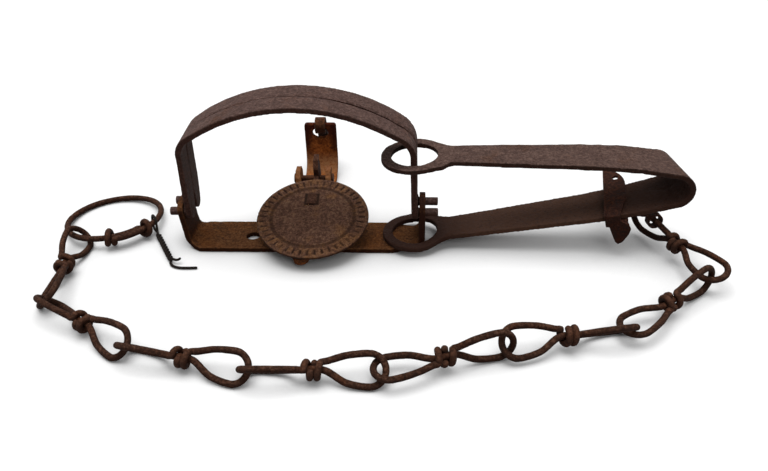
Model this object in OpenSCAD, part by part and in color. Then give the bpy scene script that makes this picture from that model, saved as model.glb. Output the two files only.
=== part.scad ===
// Single long spring foothold trap, closed, with its knotted wire chain, end ring and tag wire.
// X runs along the base towards the spring, Y runs back towards the dog post, Z is up.
// The origin is the middle of the base's underside. Millimetres.

/* [Base strap] */
// Distance from the middle to the outer face of the left end post at floor level
left_l = 51.5; // [48:0.1:60]
// Distance from the middle to the outer face of the right end post at floor level
right_l = 49.6; // [49.4:0.1:49.9]
// Width of the base strap between its tapers
base_w = 20.8; // [19:0.2:24]
// Thickness of the base strap
base_t = 2.6; // [2:0.1:3]
// Width of the upright end posts
post_w = 15.8; // [15:0.2:16.2]
// Height of the end posts above the floor
post_h = 20.9; // [20.6:0.1:24]
// Inside radius of the bends at the foot of the posts
post_bend_r = 3.2; // [2:0.2:5]
// Outward lean of the left post, in degrees
left_lean = 6; // [0:0.5:6.5]
// Outward lean of the right post, in degrees
right_lean = 0.5; // [0:0.5:1.5]
// Diameter of the round hole in the base
base_hole_d = 5.6; // [3:0.2:8]
// Distance of that hole from the middle of the base
base_hole_x = 24.4; // [20:0.2:30]

/* [Jaws] */
// Height of the jaw pivots above the floor
pivot_z = 16.9; // [16:0.1:17.2]
// Distance between the front and the rear pivots
pivot_span = 8.8; // [8.4:0.1:9]
// Gap between the closed jaws
jaw_gap = 0.3; // [0.2:0.1:1]
// Thickness of the jaw strap
jaw_t = 2.6; // [2:0.1:3]
// Width of each jaw at the bow
bow_w = 11; // [9.5:0.1:13]
// Height of the top of the closed jaws above the floor
jaw_h = 66.8; // [64:0.2:72]
// Angle that half of the flat bow spans, in degrees
bow_a = 34.8; // [28:0.2:40]
// Outside radius of the jaw's shoulders
corner_r = 11.9; // [9:0.1:14]
// Lean of the jaw's legs towards each other as they rise, in degrees
leg_lean = -0.5; // [-1:0.1:3]
// Thickness of the boss round each stub at its thickest
boss_l = 0.3; // [0.2:0.05:1]
// Diameter of the stubs that the jaws turn on
stub_d = 3.7; // [3:0.1:4]
// Length of the stubs outside the left post
stub_left = 3.7; // [2:0.1:6]
// Length of the stubs outside the right post
stub_right = 5.3; // [2:0.1:6]

/* [Cross strap and dog post] */
// Offset of the cross strap to the left of the middle
cross_off = 0.9; // [0:0.1:2]
// Width of the cross strap
cross_w = 15.4; // [14:0.2:17]
// Thickness of the cross strap
cross_t = 2.5; // [2:0.1:3]
// Reach of the cross strap's tip in front of the middle
cross_front = 23.2; // [20:0.2:26]
// Radius of the cross strap's tip
tip_r = 3.2; // [2:0.2:5]
// Inside radius of the bend at the foot of the dog post
dog_bend_r = 7.5; // [5:0.5:9]
// Distance from the middle to the front face of the dog post
dog_post_y = 59.2; // [59:0.1:66]
// Height of the dog post above the floor
dog_post_h = 26.6; // [26.4:0.1:30]
// Height of the bar above the hole that the dog hangs on
bar_h = 2.5; // [2:0.1:3]
// Width of the hole for the dog
dog_hole_w = 7.4; // [6.6:0.2:9]
// Height of the hole for the dog
dog_hole_h = 4.7; // [4.6:0.1:6]

/* [Pan] */
// Diameter of the pan
pan_d = 47.4; // [40:0.2:50]
// Thickness of the pan
pan_t = 1.7; // [1.2:0.1:2]
// Depth of the plain ring groove round the pan
pan_groove = 0.35; // [0.2:0.05:0.6]
// Distance from the pan's pivot to its middle, along the pan
pan_reach = 31; // [29:0.2:33]
// Height of the pan's middle plane over its pivot when it is level
pan_rise = 5.3; // [4.6:0.1:6]
// Offset of the lever to the right of the middle
lever_off = 0.8; // [0:0.1:1.6]
// Sideways offset of the pan's middle from its lever
pan_side = 1.4; // [0:0.1:2]
// Droop of the pan when the trap is sprung, in degrees
pan_droop = 12.4; // [8:0.2:12.6]
// Distance from the middle of the trap to the pan's pivot
pan_pivot_y = 30; // [30:0.2:31]
// Height of the pan's pivot above the floor
pan_pivot_z = 13.5; // [13.2:0.1:14]
// Thickness of the lever under the pan
lever_t = 2.3; // [1.6:0.1:3]
// Diameter of the pan's pivot pin
pin_d = 2.8; // [2:0.1:3.4]
// Distance between the outer faces of the two ears
ears_w = 16; // [14.6:0.2:18]
// Width of each ear
ear_l = 8.6; // [7:0.2:10]
// Height of the ears above the floor
ear_h = 18.7; // [17.6:0.1:20]

/* [Dog] */
// Width of the dog
dog_w = 5; // [4:0.2:5.4]
// Thickness of the dog
dog_t = 1.7; // [1.2:0.1:1.9]
// Inside radius of the dog's eye
dog_eye_r = 2.25; // [2.2:0.05:2.6]
// Lean of the hanging dog away from upright, in degrees
dog_lean = 22; // [20:1:30]
// Depth of the notch in the lever that holds the dog
notch_in = 1.3; // [0.8:0.1:1.8]

/* [Spring] */
// Thickness of the spring
spring_t = 2.3; // [1.8:0.1:2.6]
// Distance from the middle of the trap to the middle of the eyes
eye_x = 45.2; // [44.8:0.1:46]
// Outside diameter of the eyes
eye_d = 27.2; // [25:0.2:30]
// Diameter of the holes in the eyes
eye_hole_d = 18.8; // [18.6:0.1:19.6]
// Distance from the middle of the eyes to the end of the bow
spring_l = 105.6; // [100:0.2:120]
// Width of the spring at its neck
neck_w = 13.8; // [12:0.2:16]
// Width of the spring at its bow
spring_bow_w = 22; // [18:0.5:26]
// Radius of the bow along the middle of the strip
spring_bow_r = 6.5; // [5:0.1:8]
// Slope of the lower leaf, in degrees
leaf_slope = 10.4; // [9.5:0.1:11.5]
// Slope of the lower leaf where it meets the bow, in degrees
bow_in_slope = 16.2; // [14:0.2:18]
// Slope of the upper leaf where it leaves the bow, in degrees
bow_out_slope = 10.4; // [9:0.2:12]
// Skew of the spring's fold lines across its leaves, in degrees
spring_skew = 11; // [0:0.5:12]

/* [Chain clip] */
// Thickness of the clip's plate
clip_t = 1.3; // [1:0.1:1.6]
// Length of the clip along the spring
clip_l = 9; // [7:0.2:11]
// Distance from the middle of the eyes to the clip
clip_x = 82.5; // [70:0.5:86]
// Skew of the clip across the spring, in degrees
clip_skew = 9; // [0:0.5:12]
// Reach of the upper ear past the spring's rear edge
clip_ear = 10.2; // [8:0.2:13]
// Length of the lower ear below the spring's front edge
clip_point = 9.8; // [9:0.2:11]
// Width of the tail that leads to the curl
tail_w = 5; // [4:0.2:7]
// Inside radius of the curl
curl_r = 2.4; // [2.3:0.1:2.6]
// Length of the curl
curl_l = 3.4; // [3:0.2:4]

/* [Chain] */
// Diameter of the chain's wire
wire_d = 2.5; // [2:0.1:2.6]
// Distance between the places where one link hangs on the next
link_pitch = 46.5; // [45:0.1:47.5]
// Width of a loop along the middle of its wire
loop_w = 11.2; // [10.4:0.1:11.8]
// Slack between hooked loops
link_slack = 0.5; // [0.4:0.1:0.8]
// Clearance between the coils of a knot
knot_gap = 0.12; // [0.1:0.01:0.2]
// Turns of each of the knot's two coils
knot_turns = 1; // [0.9:0.1:1.3]

/* [End ring] */
// Diameter of the end ring along the middle of its wire
ring_d = 40.4; // [38:0.2:44]
// Diameter of the ring's wire
ring_wire_d = 2.6; // [2:0.1:2.8]
// Angle that the doubled part of the ring spans, in degrees
splice_a = 34; // [28:1:40]

/* [Tag wire] */
// Diameter of the thin tag wire
tag_d = 1.1; // [0.8:0.05:1.2]
// Turns of the twisted pair
tag_turns = 5; // [3:1:7]
// Length of one turn of the twisted pair
tag_pitch = 4.2; // [3.6:0.1:4.4]

/* [Hidden] */
$fn = 64;
// Running clearance between pieces that turn or slide, and the least one between seated pieces
run_gap = 0.3;
seat_gap = 0.05;
far = 200;
iron = [0.26, 0.19, 0.16];
rust = [0.48, 0.27, 0.14];

// Straps: a bent strap is traced as a list of steps, each a straight run followed by a bend
// [run, radius along the middle, sweep], where a positive sweep turns left.
arc_step = 6;

function bend_points(x, y, h, r, sweep) =
    let (n = max(1, ceil(abs(sweep) / arc_step)), s = sign(sweep))
    [for (i = [1 : n]) let (k = h + sweep * i / n)
        [x + s * r * (sin(k) - sin(h)), y - s * r * (cos(k) - cos(h)), k]];

function trace(steps, x, y, h, i = 0) =
    i == len(steps) ? [] :
    let (
        run = steps[i][0],
        p = [x + run * cos(h), y + run * sin(h), h],
        arc = steps[i][2] == 0 ? [] : bend_points(p[0], p[1], h, steps[i][1], steps[i][2]),
        e = len(arc) == 0 ? p : arc[len(arc) - 1],
        here = run == 0 ? arc : concat([p], arc)
    )
    concat(here, trace(steps, e[0], e[1], e[2], i + 1));

function full_trace(steps, x, y, h) = concat([[x, y, h]], trace(steps, x, y, h));

function side_of(path, d) = [for (p = path) [p[0] - d * sin(p[2]), p[1] + d * cos(p[2])]];

function backwards(list) = [for (i = [len(list) - 1 : -1 : 0]) list[i]];

module strap_outline(path, t) {
    polygon(concat(side_of(path, t / 2), backwards(side_of(path, -t / 2))));
}

// A strap traced in the XZ plane and w wide along Y
module strap_xz(path, t, w) {
    translate([0, w / 2, 0]) rotate([90, 0, 0]) linear_extrude(w) strap_outline(path, t);
}

// A strap traced in the YZ plane and w wide along X
module strap_yz(path, t, w) {
    translate([-w / 2, 0, 0]) rotate([90, 0, 90]) linear_extrude(w) strap_outline(path, t);
}

// An outline drawn in the YZ plane, swept along the whole of X
module along_x(w = 2 * far) {
    translate([-w / 2, 0, 0]) rotate([90, 0, 90]) linear_extrude(w) children();
}

module rod_x(x0, x1, y, z, d) {
    translate([min(x0, x1), y, z]) rotate([0, 90, 0]) cylinder(h = abs(x1 - x0), d = d);
}

// End posts
function post_out(l, lean, z) = l + z * tan(lean);
function post_in(l, lean, z) = post_out(l, lean, z) - base_t / cos(lean);
pivot_y = pivot_span / 2;
stub_bore = stub_d + 0.3;
post_taper = 7;
post_corner_r = 3.4;
base_mid_r = post_bend_r + base_t / 2;
function bend_start(l, lean) = l - (post_bend_r + base_t) * tan((90 - lean) / 2);
function post_run(lean) = (post_h + 1 - base_t / 2 - base_mid_r * (1 - sin(lean))) / cos(lean);
base_path = full_trace([
    [bend_start(left_l, left_lean) + bend_start(right_l, right_lean), base_mid_r, 90 - right_lean],
    [post_run(right_lean), 0, 0]], -bend_start(left_l, left_lean), base_t / 2, 0);
left_path = full_trace([
    [0, base_mid_r, left_lean - 90], [post_run(left_lean), 0, 0]],
    -bend_start(left_l, left_lean) + seat_gap, base_t / 2, 180);

// Jaws: the leg starts at the pivot height, leans out, turns the shoulder and meets the flat bow
leg_w = 2 * (pivot_y - jaw_gap / 2);
end_r = stub_d / 2 + 1.1;
end_rise = 9;
boss_r = end_r - 0.1;
left_face = post_in(left_l, left_lean, pivot_z - boss_r) - run_gap;
right_face = post_in(right_l, right_lean, pivot_z - boss_r) - run_gap;
jaw_x = (right_face - left_face) / 2;
foot_x = (right_face + left_face) / 2 - boss_l - jaw_t / 2;
corner_mid_r = corner_r - jaw_t / 2;
leg_rise = jaw_h - jaw_t / 2 - pivot_z - corner_mid_r * (cos(bow_a) + sin(leg_lean));
bow_mid_r = (foot_x + leg_rise * tan(leg_lean) - corner_mid_r * (cos(leg_lean) - sin(bow_a)))
    / (sin(bow_a) + (1 - cos(bow_a)) * tan(leg_lean));
leg_run = (leg_rise - bow_mid_r * (1 - cos(bow_a))) / cos(leg_lean);
shoulder_z = pivot_z + leg_run * cos(leg_lean);
foot_drop = leg_w / 2 + 1;
jaw_path = full_trace([
    [leg_run + foot_drop, corner_mid_r, -(90 + leg_lean - bow_a)],
    [0, bow_mid_r, -2 * bow_a],
    [0, corner_mid_r, -(90 + leg_lean - bow_a)],
    [leg_run + foot_drop, 0, 0]],
    jaw_x - foot_x + foot_drop * tan(leg_lean), pivot_z - foot_drop * cos(leg_lean), 90 + leg_lean);

// Cross strap: over the base, down to the floor behind it, and up into the dog post
cross_z = base_t + cross_t / 2;
joggle_a = 32;
joggle_r = cross_t / 2 + 2.5;
joggle_run = (base_t - 2 * joggle_r * (1 - cos(joggle_a))) / sin(joggle_a);
joggle_y = base_w / 2 + 1.2;
joggle_end = joggle_y + 2 * joggle_r * sin(joggle_a) + joggle_run * cos(joggle_a);
dog_mid_r = dog_bend_r + cross_t / 2;
cross_path = full_trace([
    [cross_front + joggle_y, joggle_r, -joggle_a],
    [joggle_run, joggle_r, joggle_a],
    [dog_post_y + cross_t / 2 - dog_mid_r - joggle_end, dog_mid_r, 90],
    [dog_post_h - cross_t / 2 - dog_mid_r, 0, 0]], -cross_front, cross_z, 0);
ear_bend_r = cross_t / 2 + 1;
ear_path = full_trace([
    [far, ear_bend_r, 90],
    [ears_w - cross_t - 2 * ear_bend_r, ear_bend_r, 90],
    [far, 0, 0]], -(ears_w - cross_t) / 2, far + ear_bend_r + cross_t / 2, -90);
rivet_d = 4;
rivet_head_d = 7;
rivet_head_h = 1.6;
rivet_x = 4;

// Dog: it hangs on the bar at the top of the dog post
bar_y = dog_post_y + cross_t / 2;
bar_z = dog_post_h - bar_h / 2;
dog_mid = dog_eye_r + dog_t / 2;
dog_turn = 270 - dog_lean;
dog_off = cross_off - 0.2;
tip_y = pan_pivot_y + notch_in + 1.3;
dog_l = bar_y - tip_y;

// Pan: drawn level round its pivot, then turned down by its droop
arm_w = 7.4;
arm_top = 11.2;
notch_z = bar_z - dog_mid - pan_pivot_z;
tenon_l = 5.4;
tenon_y = -pan_reach + 10.5;
slot_gap = 0.4;

// Spring, traced from the lower eye to the bow and back to the upper eye
lower_z = base_t + seat_gap + spring_t / 2;
eye_bend_r = 25;
long_r = 150;
bow_x = eye_x + spring_l - spring_t / 2 - spring_bow_r;
leaf_lead = 2.2;
eye_turn_x = eye_bend_r * sin(leaf_slope);
long_sweep = bow_in_slope - leaf_slope;
long_x = long_r * (sin(bow_in_slope) - sin(leaf_slope));
bow_run = 15;
leaf_run = (bow_x + spring_bow_r * sin(bow_in_slope) - bow_run * cos(bow_in_slope) - long_x
    - (eye_x - leaf_lead) - eye_turn_x) / cos(leaf_slope);
lower_path = full_trace([
    [eye_d / 2 - leaf_lead + 1, eye_bend_r, leaf_slope],
    [leaf_run, long_r, long_sweep],
    [bow_run, spring_bow_r, 90 - bow_in_slope]],
    eye_x - eye_d / 2 - 1, lower_z, 0);
bow_tip = lower_path[len(lower_path) - 1];
upper_r = 180;
upper_dip = 3;
upper_level = 179.3;
dip_r = 60;
out_x = bow_tip[0] - spring_bow_r * (1 - sin(bow_out_slope))
    - upper_r * (sin(bow_out_slope) - sin(180 - upper_level));
upper_run = (out_x - eye_x - 12.5) / -cos(upper_level);
upper_path = full_trace([
    [0, spring_bow_r, 90 - bow_out_slope],
    [0, upper_r, upper_level - (180 - bow_out_slope)],
    [upper_run, dip_r, 180 + upper_dip - upper_level],
    [eye_d / 2 + 12, 0, 0]],
    bow_tip[0], bow_tip[1] + 0.3, 90);
neck_x = 12;
neck_r = 11;
fillet_y = neck_w / 2 + neck_r;
fillet_x = sqrt(pow(eye_d / 2 + neck_r, 2) - pow(fillet_y, 2));

// Chain clip, in a frame that lies on the lower leaf
function along_leaf(x, y) = eye_x + (x - eye_x) * cos(spring_skew) + y * sin(spring_skew);
function leaf_mid_z(x, y) = lookup(along_leaf(x, y), [for (p = lower_path) [p[0], p[1]]]);
clip_slope = lookup(along_leaf(eye_x + clip_x, 0), [for (p = lower_path) [p[0], p[2]]]);
function leaf_width(x) = neck_w + (spring_bow_w - neck_w) * (x - neck_x) / (spring_l - neck_x);
clip_half = leaf_width(clip_x) / 2 + 1.4;
clip_z = spring_t / 2 + clip_t / 2 + 0.22;
curl_at = [143.2, -4, 13.6];
curl_wall = 0.9;
curl_turn = 12;

// Chain: wire tubes, drawn round a path of points
wire_r = wire_d / 2;
loop_r = loop_w / 2;
coil_r = wire_d + knot_gap;
coil_l = knot_turns * (wire_d + knot_gap);
knot_half = coil_l + 0.25;
apex = link_pitch / 2 + wire_d / 2 + link_slack / 2;
nose_x = apex - loop_r;
level_z = loop_r * sin(45) + wire_r + 0.05;
upright_z = loop_r + wire_r + 0.25;
leg_hook = 12.4;

// Heading of each link on the floor, its roll, and the height of the joint that it starts from
link_yaw = [-60.5, -141, -166, -164, -179, 166.5, 146.5, 94];
link_roll = [15, 0, 135, 0, 45, 45, 45, 45];
joint_z = [0, upright_z, level_z, upright_z, level_z, level_z, level_z, level_z, level_z];

// Half of a link: out along one leg, round the nose and back, and then the coil round the core
belly_x = nose_x - 7.6;
belly_in = 4.3;
belly_out = 4.9;
leg_x = knot_half + 2.2;
leg_y = coil_r + 0.45;
nose_n = 9;
coil_n = 11;
function half_link() = concat(
    [[0, 0, 0], [knot_half + 0.8, 0, 0], [belly_x, -belly_in, 0]],
    [for (i = [0 : nose_n]) let (a = -84 + 168 * i / nose_n)
        [nose_x + loop_r * cos(a), loop_r * sin(a), 0]],
    [[belly_x, belly_out, 0], [leg_x, leg_y, 0]],
    [for (i = [0 : coil_n]) let (a = 360 * knot_turns * i / coil_n)
        [knot_half - coil_l * i / coil_n, coil_r * cos(a), coil_r * sin(a)]]);

// The other half is turned about the link's axis by a right angle and runs the other way
function other_half(p) = [-p[0], p[2], p[1]];
link_points = let (h = half_link(), n = len(h)) concat(
    backwards([for (i = [1 : n - 1]) h[i]]), [for (i = [1 : n - 1]) other_half(h[i])]);

function unit(v) = v / norm(v);
function turned(v, axis, a) = v * cos(a) + cross(axis, v) * sin(a) + axis * (axis * v) * (1 - cos(a));

// Direction of the path at each point, and a frame carried along it without twist
function directions(p) = [for (i = [0 : len(p) - 1])
    unit(p[min(i + 1, len(p) - 1)] - p[max(i - 1, 0)])];
function carried(v, d) = unit(v - d * (v * d));
function frames(d, v, i = 0) =
    i == len(d) ? [] : let (u = carried(v, d[i])) concat([u], frames(d, u, i + 1));

module tube(points, r, sides = 8) {
    d = directions(points);
    u = frames(d, cross(d[0], abs(d[0][2]) < 0.9 ? [0, 0, 1] : [1, 0, 0]));
    n = len(points);
    v = [for (i = [0 : n - 1]) let (w = cross(d[i], u[i])) for (k = [0 : sides - 1])
        points[i] + r * (u[i] * cos(360 * k / sides) + w * sin(360 * k / sides))];
    walls = [for (i = [0 : n - 2], k = [0 : sides - 1]) let (m = (k + 1) % sides, a = i * sides)
        each [[a + k, a + sides + m, a + m], [a + k, a + sides + k, a + sides + m]]];
    first = [for (k = [1 : sides - 2]) [0, k, k + 1]];
    last = [for (k = [1 : sides - 2]) let (a = (n - 1) * sides) [a, a + k + 1, a + k]];
    polyhedron(points = v, faces = concat(walls, first, last));
}

// Places of the links: each starts at its joint and ends a pitch further on
function heading(yaw, rise) = [cos(yaw) * cos(rise), sin(yaw) * cos(rise), sin(rise)];
// The second link hangs on the side of the first link's loop, so their joint is off its axis
side_a = -60;
side_x = nose_x + (loop_r - wire_r - link_slack / 2) * cos(side_a);
side_y = -(loop_r - wire_r - link_slack / 2) * sin(side_a);
first_reach = leg_hook + side_x;
roll_slack = 0.6;
hook_side = belly_out + (leg_hook - belly_x) * (loop_r - belly_out) / (nose_x + 0.6 - belly_x);
hook_drop = hook_side * cos(link_roll[0]) + side_y * sin(link_roll[0]);
first_rise = atan2(hook_drop, first_reach)
    - asin((curl_at[2] - joint_z[1]) / norm([hook_drop, first_reach]));
function link_rise(i) = i == 0 ? first_rise : asin((joint_z[i + 1] - joint_z[i]) / link_pitch);

// Distance from a joint to the noses that hook there, which grows with the turn between the links
function hook_at(i) =
    let (bend = i == 8 ? 1 : link_dir(i - 1) * link_dir(i))
    (wire_r + link_slack / 2) / sqrt((1 + bend) / 2)
    + (i < 8 && link_roll[i - 1] != link_roll[i] ? roll_slack : 0);
function link_dir(i) = heading(link_yaw[i], link_rise(i));
function link_side(i) = [-sin(link_yaw[i]), cos(link_yaw[i]), 0];
function link_up(i) = cross(link_dir(i), link_side(i));
first_middle = curl_at + link_dir(0) * leg_hook
    - hook_side * (link_side(0) * -sin(link_roll[0]) + link_up(0) * cos(link_roll[0]));
function joint_at(i) = i == 1 ? first_middle + link_dir(0) * side_x
        - side_y * (link_side(0) * cos(link_roll[0]) + link_up(0) * sin(link_roll[0]))
    : middle_of(i - 1) + link_dir(i - 1) * (apex - hook_at(i));
function middle_of(i) = i == 0 ? first_middle
    : joint_at(i) + link_dir(i) * (apex - (i == 1 ? wire_r + link_slack / 2 : hook_at(i)));

// Moves a point of the upright link to the place of link i
function placed(i, p) =
    let (
        d = link_dir(i), s = link_side(i), w = link_up(i), a = link_roll[i],
        y = s * cos(a) + w * sin(a), z = w * cos(a) - s * sin(a)
    )
    middle_of(i) + d * p[0] + y * p[1] + z * p[2];

module link(i) {
    color(i % 2 == 0 ? iron : rust) tube([for (p = link_points) placed(i, p)], wire_r);
}

// End ring: a round wire whose two ends run side by side and are each wrapped round the other
ring_r = ring_d / 2;
ring_gap = 0.12;
ring_pair = (ring_wire_d + ring_gap) / 2;
ring_turns = 1.25;
ring_coil = ring_turns * (ring_wire_d + ring_gap);
ring_coil_a = ring_coil / ring_r * 180 / PI;
hook_a = -112;
splice_mid = -50;
ring_n = 26;
ring_coil_n = 11;
tail_a = splice_mid - splice_a / 2;
head_a = splice_mid + splice_a / 2;
function ring_at(a, off, up) = [(ring_r + off) * cos(a), (ring_r + off) * sin(a), up];
function coil_round(a0, off, b0, s) = [for (i = [0 : ring_coil_n]) let (
    k = i / ring_coil_n, b = b0 + s * 360 * ring_turns * k, q = 2 * ring_pair)
    ring_at(a0 + s * ring_coil_a * k, off + q * cos(b), q * sin(b))];
ring_points = concat(
    backwards(coil_round(tail_a, -ring_pair, 0, -1)),
    [for (i = [1 : 5]) ring_at(tail_a + splice_a * i / 5, ring_pair, 0)],
    [for (i = [1 : ring_n - 1]) let (k = i / ring_n, a = head_a + (360 - splice_a) * k)
        ring_at(a, ring_pair * (1 - 2 * min(1, max(0, (k - 0.25) * 2))), 0)],
    [for (i = [0 : 4]) ring_at(tail_a + splice_a * i / 5, -ring_pair, 0)],
    coil_round(head_a, ring_pair, 180, 1));
ring_rise = 4;
ring_high_a = -58;
ring_low = ring_wire_d / 2 + 0.1;
ring_tilt = asin(ring_rise / (2 * ring_r));
ring_in = wire_r + ring_wire_d / 2 + 2.6;
ring_hook = middle_of(7) + link_dir(7) * (apex - ring_in);
ring_middle = [ring_hook[0] - ring_r * cos(hook_a), ring_hook[1] - ring_r * sin(hook_a),
    ring_low + ring_rise / 2];
ring_axis = [-sin(ring_high_a), cos(ring_high_a), 0];
function on_ring(p) = ring_middle + turned(p, ring_axis, -ring_tilt);

module end_ring() {
    color(iron) tube([for (p = ring_points) on_ring(p)], ring_wire_d / 2);
}

// Tag wire: a loop round the ring's wire and a twisted pair with two loose ends
tag_r = tag_d / 2;
tag_a = -14;
tag_heading = -60;
tag_loop_r = 0.7 * ring_wire_d + tag_r + 0.6;
tag_pair = tag_r + 0.16;
tag_n = 10;
tag_start = on_ring(ring_at(tag_a, ring_pair, 0));
tag_run = heading(tag_heading, 0);
tag_side = [-sin(tag_heading), cos(tag_heading), 0];
tag_floor = tag_r + 0.15;
function tag_point(along, side, up) = [tag_start[0], tag_start[1], 0] + tag_run * along
    + tag_side * side + [0, 0, up];
tag_lead = tag_loop_r + 2.4;
tag_z = tag_pair + tag_floor;
function tag_strand(s) = [for (i = [1 : tag_n * tag_turns]) let (
    k = i / tag_n, a = 360 * k + (s > 0 ? 90 : 270))
    tag_point(tag_lead + tag_pitch * k, tag_pair * cos(a), tag_z + tag_pair * sin(a))];
tag_end = tag_lead + tag_pitch * tag_turns;
tag_loop = [for (i = [0 : 10]) let (a = 130 - 260 * i / 10 + 180)
    tag_point(-tag_loop_r * cos(a) * -1, tag_pair * (i / 5 - 1) * 0.9,
        tag_start[2] - tag_loop_r * sin(a) * -1)];
tag_points = concat(
    [tag_point(tag_end + 3.2, 3.6, tag_z + 1.2), tag_point(tag_end + 3, 2.2, tag_z + 0.6),
        tag_point(tag_end + 1.6, 0.6, tag_z + tag_pair)],
    backwards(tag_strand(1)),
    [tag_point(tag_lead, 0, tag_z + tag_pair)],
    tag_loop,
    [tag_point(tag_lead, 0, tag_z - tag_pair)],
    tag_strand(-1),
    [tag_point(tag_end + 2, -0.7, tag_floor), tag_point(tag_end + 4.4, -0.3, tag_floor),
        tag_point(tag_end + 6.4, 1.1, tag_floor), tag_point(tag_end + 8, 3.2, tag_floor),
        tag_point(tag_end + 10.6, 8.2, tag_floor)]);

module tag_wire() {
    color([0.07, 0.07, 0.07]) tube(tag_points, tag_r, 6);
}

module post_top_outline() {
    half = post_w / 2 - post_corner_r;
    translate([-base_w, -1]) square([2 * base_w, post_bend_r + base_t + 1]);
    translate([-post_w / 2, 0]) square([post_w, post_h - post_corner_r]);
    translate([-half, 0]) square([2 * half, post_h]);
    for (s = [-1, 1]) translate([s * half, post_h - post_corner_r]) circle(post_corner_r);
}

module base_plan() {
    right = right_l - post_bend_r - base_t - 1;
    left = left_l - 1.2;
    h = post_w / 2;
    w = base_w / 2;
    polygon([
        [-2 * left, -h], [-left, -h], [4.5 - left, -w], [right - post_taper, -w], [right, -h],
        [2 * right, -h], [2 * right, h], [right, h], [right - post_taper, w], [4.5 - left, w],
        [-left, h], [-2 * left, h]]);
}

module base_strap() {
    color([0.36, 0.27, 0.2]) difference() {
        intersection() {
            union() {
                strap_xz(base_path, base_t, base_w);
                strap_xz(left_path, base_t, base_w);
            }
            linear_extrude(2 * post_h, center = true) base_plan();
            along_x() post_top_outline();
        }
        for (s = [-1, 1]) rod_x(-far, far, s * pivot_y, pivot_z, stub_bore);
        translate([-base_hole_x, -1, -1]) cylinder(h = base_t + 2, d = base_hole_d);
        for (s = [-1, 1]) translate([s * rivet_x - cross_off, 0, -1])
            cylinder(h = base_t + 2, d = rivet_d);
    }
}

module cross_plan() {
    square_y = base_w / 2 + 1;
    translate([-cross_w / 2, -square_y]) square([cross_w, far]);
    polygon([[-cross_w / 2, -square_y], [-tip_r, tip_r - cross_front], [tip_r, tip_r - cross_front],
        [cross_w / 2, -square_y]]);
    translate([0, tip_r - cross_front]) circle(tip_r);
}

module ear_outline() {
    half = ear_l / 2;
    polygon([[-half, -1], [half, -1], [half, ear_h - 3], [half - 2, ear_h], [2 - half, ear_h],
        [-half, ear_h - 3]]);
}

module post_outline() {
    r = 1.4;
    half = cross_w / 2 - r;
    translate([-cross_w / 2, -1]) square([cross_w, dog_post_h - r + 1]);
    translate([-half, 0]) square([2 * half, dog_post_h]);
    for (s = [-1, 1]) translate([s * half, dog_post_h - r]) circle(r);
}

module cross_strap() {
    color([0.62, 0.38, 0.2]) translate([-cross_off, 0, 0]) difference() {
        union() {
            difference() {
                intersection() {
                    strap_yz(cross_path, cross_t, cross_w);
                    linear_extrude(far, center = true) cross_plan();
                    translate([0, far, 0]) rotate([90, 0, 0]) linear_extrude(2 * far) post_outline();
                }
                for (s = [-1, 1]) translate([s * cross_w / 2, pan_pivot_y, 0])
                    cube([2 * (cross_w - ears_w) / 2 + 2 * (cross_t + 1), ear_l, 2 * cross_t + 1],
                        center = true);
            }
            intersection() {
                translate([0, pan_pivot_y, 0]) strap_xz(ear_path, cross_t, ear_l);
                translate([0, pan_pivot_y, 0]) along_x() ear_outline();
            }
        }
        for (s = [-1, 1]) translate([s * rivet_x, 0, 0]) cylinder(h = far, d = rivet_d);
        rod_x(-far, far, pan_pivot_y, pan_pivot_z, pin_d);
        slot_z = dog_post_h - bar_h - dog_hole_h / 2;
        slot_half = (dog_hole_w - dog_hole_h) / 2;
        translate([0, dog_post_y - 3, slot_z]) rotate([-90, 0, 0]) {
            for (s = [-1, 1]) translate([s * slot_half, 0, 0])
                cylinder(h = cross_t + 8, d = dog_hole_h);
            translate([-slot_half, -dog_hole_h / 2, 0])
                cube([2 * slot_half, dog_hole_h, cross_t + 8]);
        }
    }
}

module cross_rivets() {
    top = base_t + cross_t;
    dome = (pow(rivet_head_d / 2, 2) + pow(rivet_head_h, 2)) / (2 * rivet_head_h);
    color(iron) for (s = [-1, 1]) translate([s * rivet_x - cross_off, 0, 0]) {
        cylinder(h = top, d = rivet_d);
        intersection() {
            translate([0, 0, top]) cylinder(h = rivet_head_h + 1, d = rivet_head_d);
            translate([0, 0, top + rivet_head_h - dome]) sphere(dome);
        }
    }
}

module pan_pin() {
    head = 0.9;
    color(iron) translate([-cross_off, 0, 0]) {
        rod_x(-ears_w / 2 - head, ears_w / 2 + head, pan_pivot_y, pan_pivot_z, pin_d);
        for (s = [-1, 1]) rod_x(s * ears_w / 2, s * (ears_w / 2 + head), pan_pivot_y, pan_pivot_z,
            pin_d + 1.6);
    }
}

// Puts what is drawn round the pan's pivot, level, at its sprung place
module at_pan_pivot() {
    translate([lever_off, pan_pivot_y, pan_pivot_z]) rotate([pan_droop, 0, 0]) children();
}

module pan() {
    r = pan_d / 2;
    edge = 0.45;
    color([0.3, 0.25, 0.22]) at_pan_pivot() difference() {
        translate([pan_side, -pan_reach, pan_rise - pan_t / 2]) rotate_extrude() polygon([
            [0, 0], [r - edge, 0], [r, edge], [r, pan_t - edge], [r - edge, pan_t],
            [r - 5.4, pan_t], [r - 5.8, pan_t - pan_groove], [r - 6.4, pan_t - pan_groove],
            [r - 6.8, pan_t], [0, pan_t]]);
        translate([-lever_t / 2 - slot_gap, tenon_y - tenon_l / 2 - slot_gap, 0])
            cube([lever_t + 2 * slot_gap, tenon_l + 2 * slot_gap, 2 * pan_rise]);
    }
}

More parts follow.
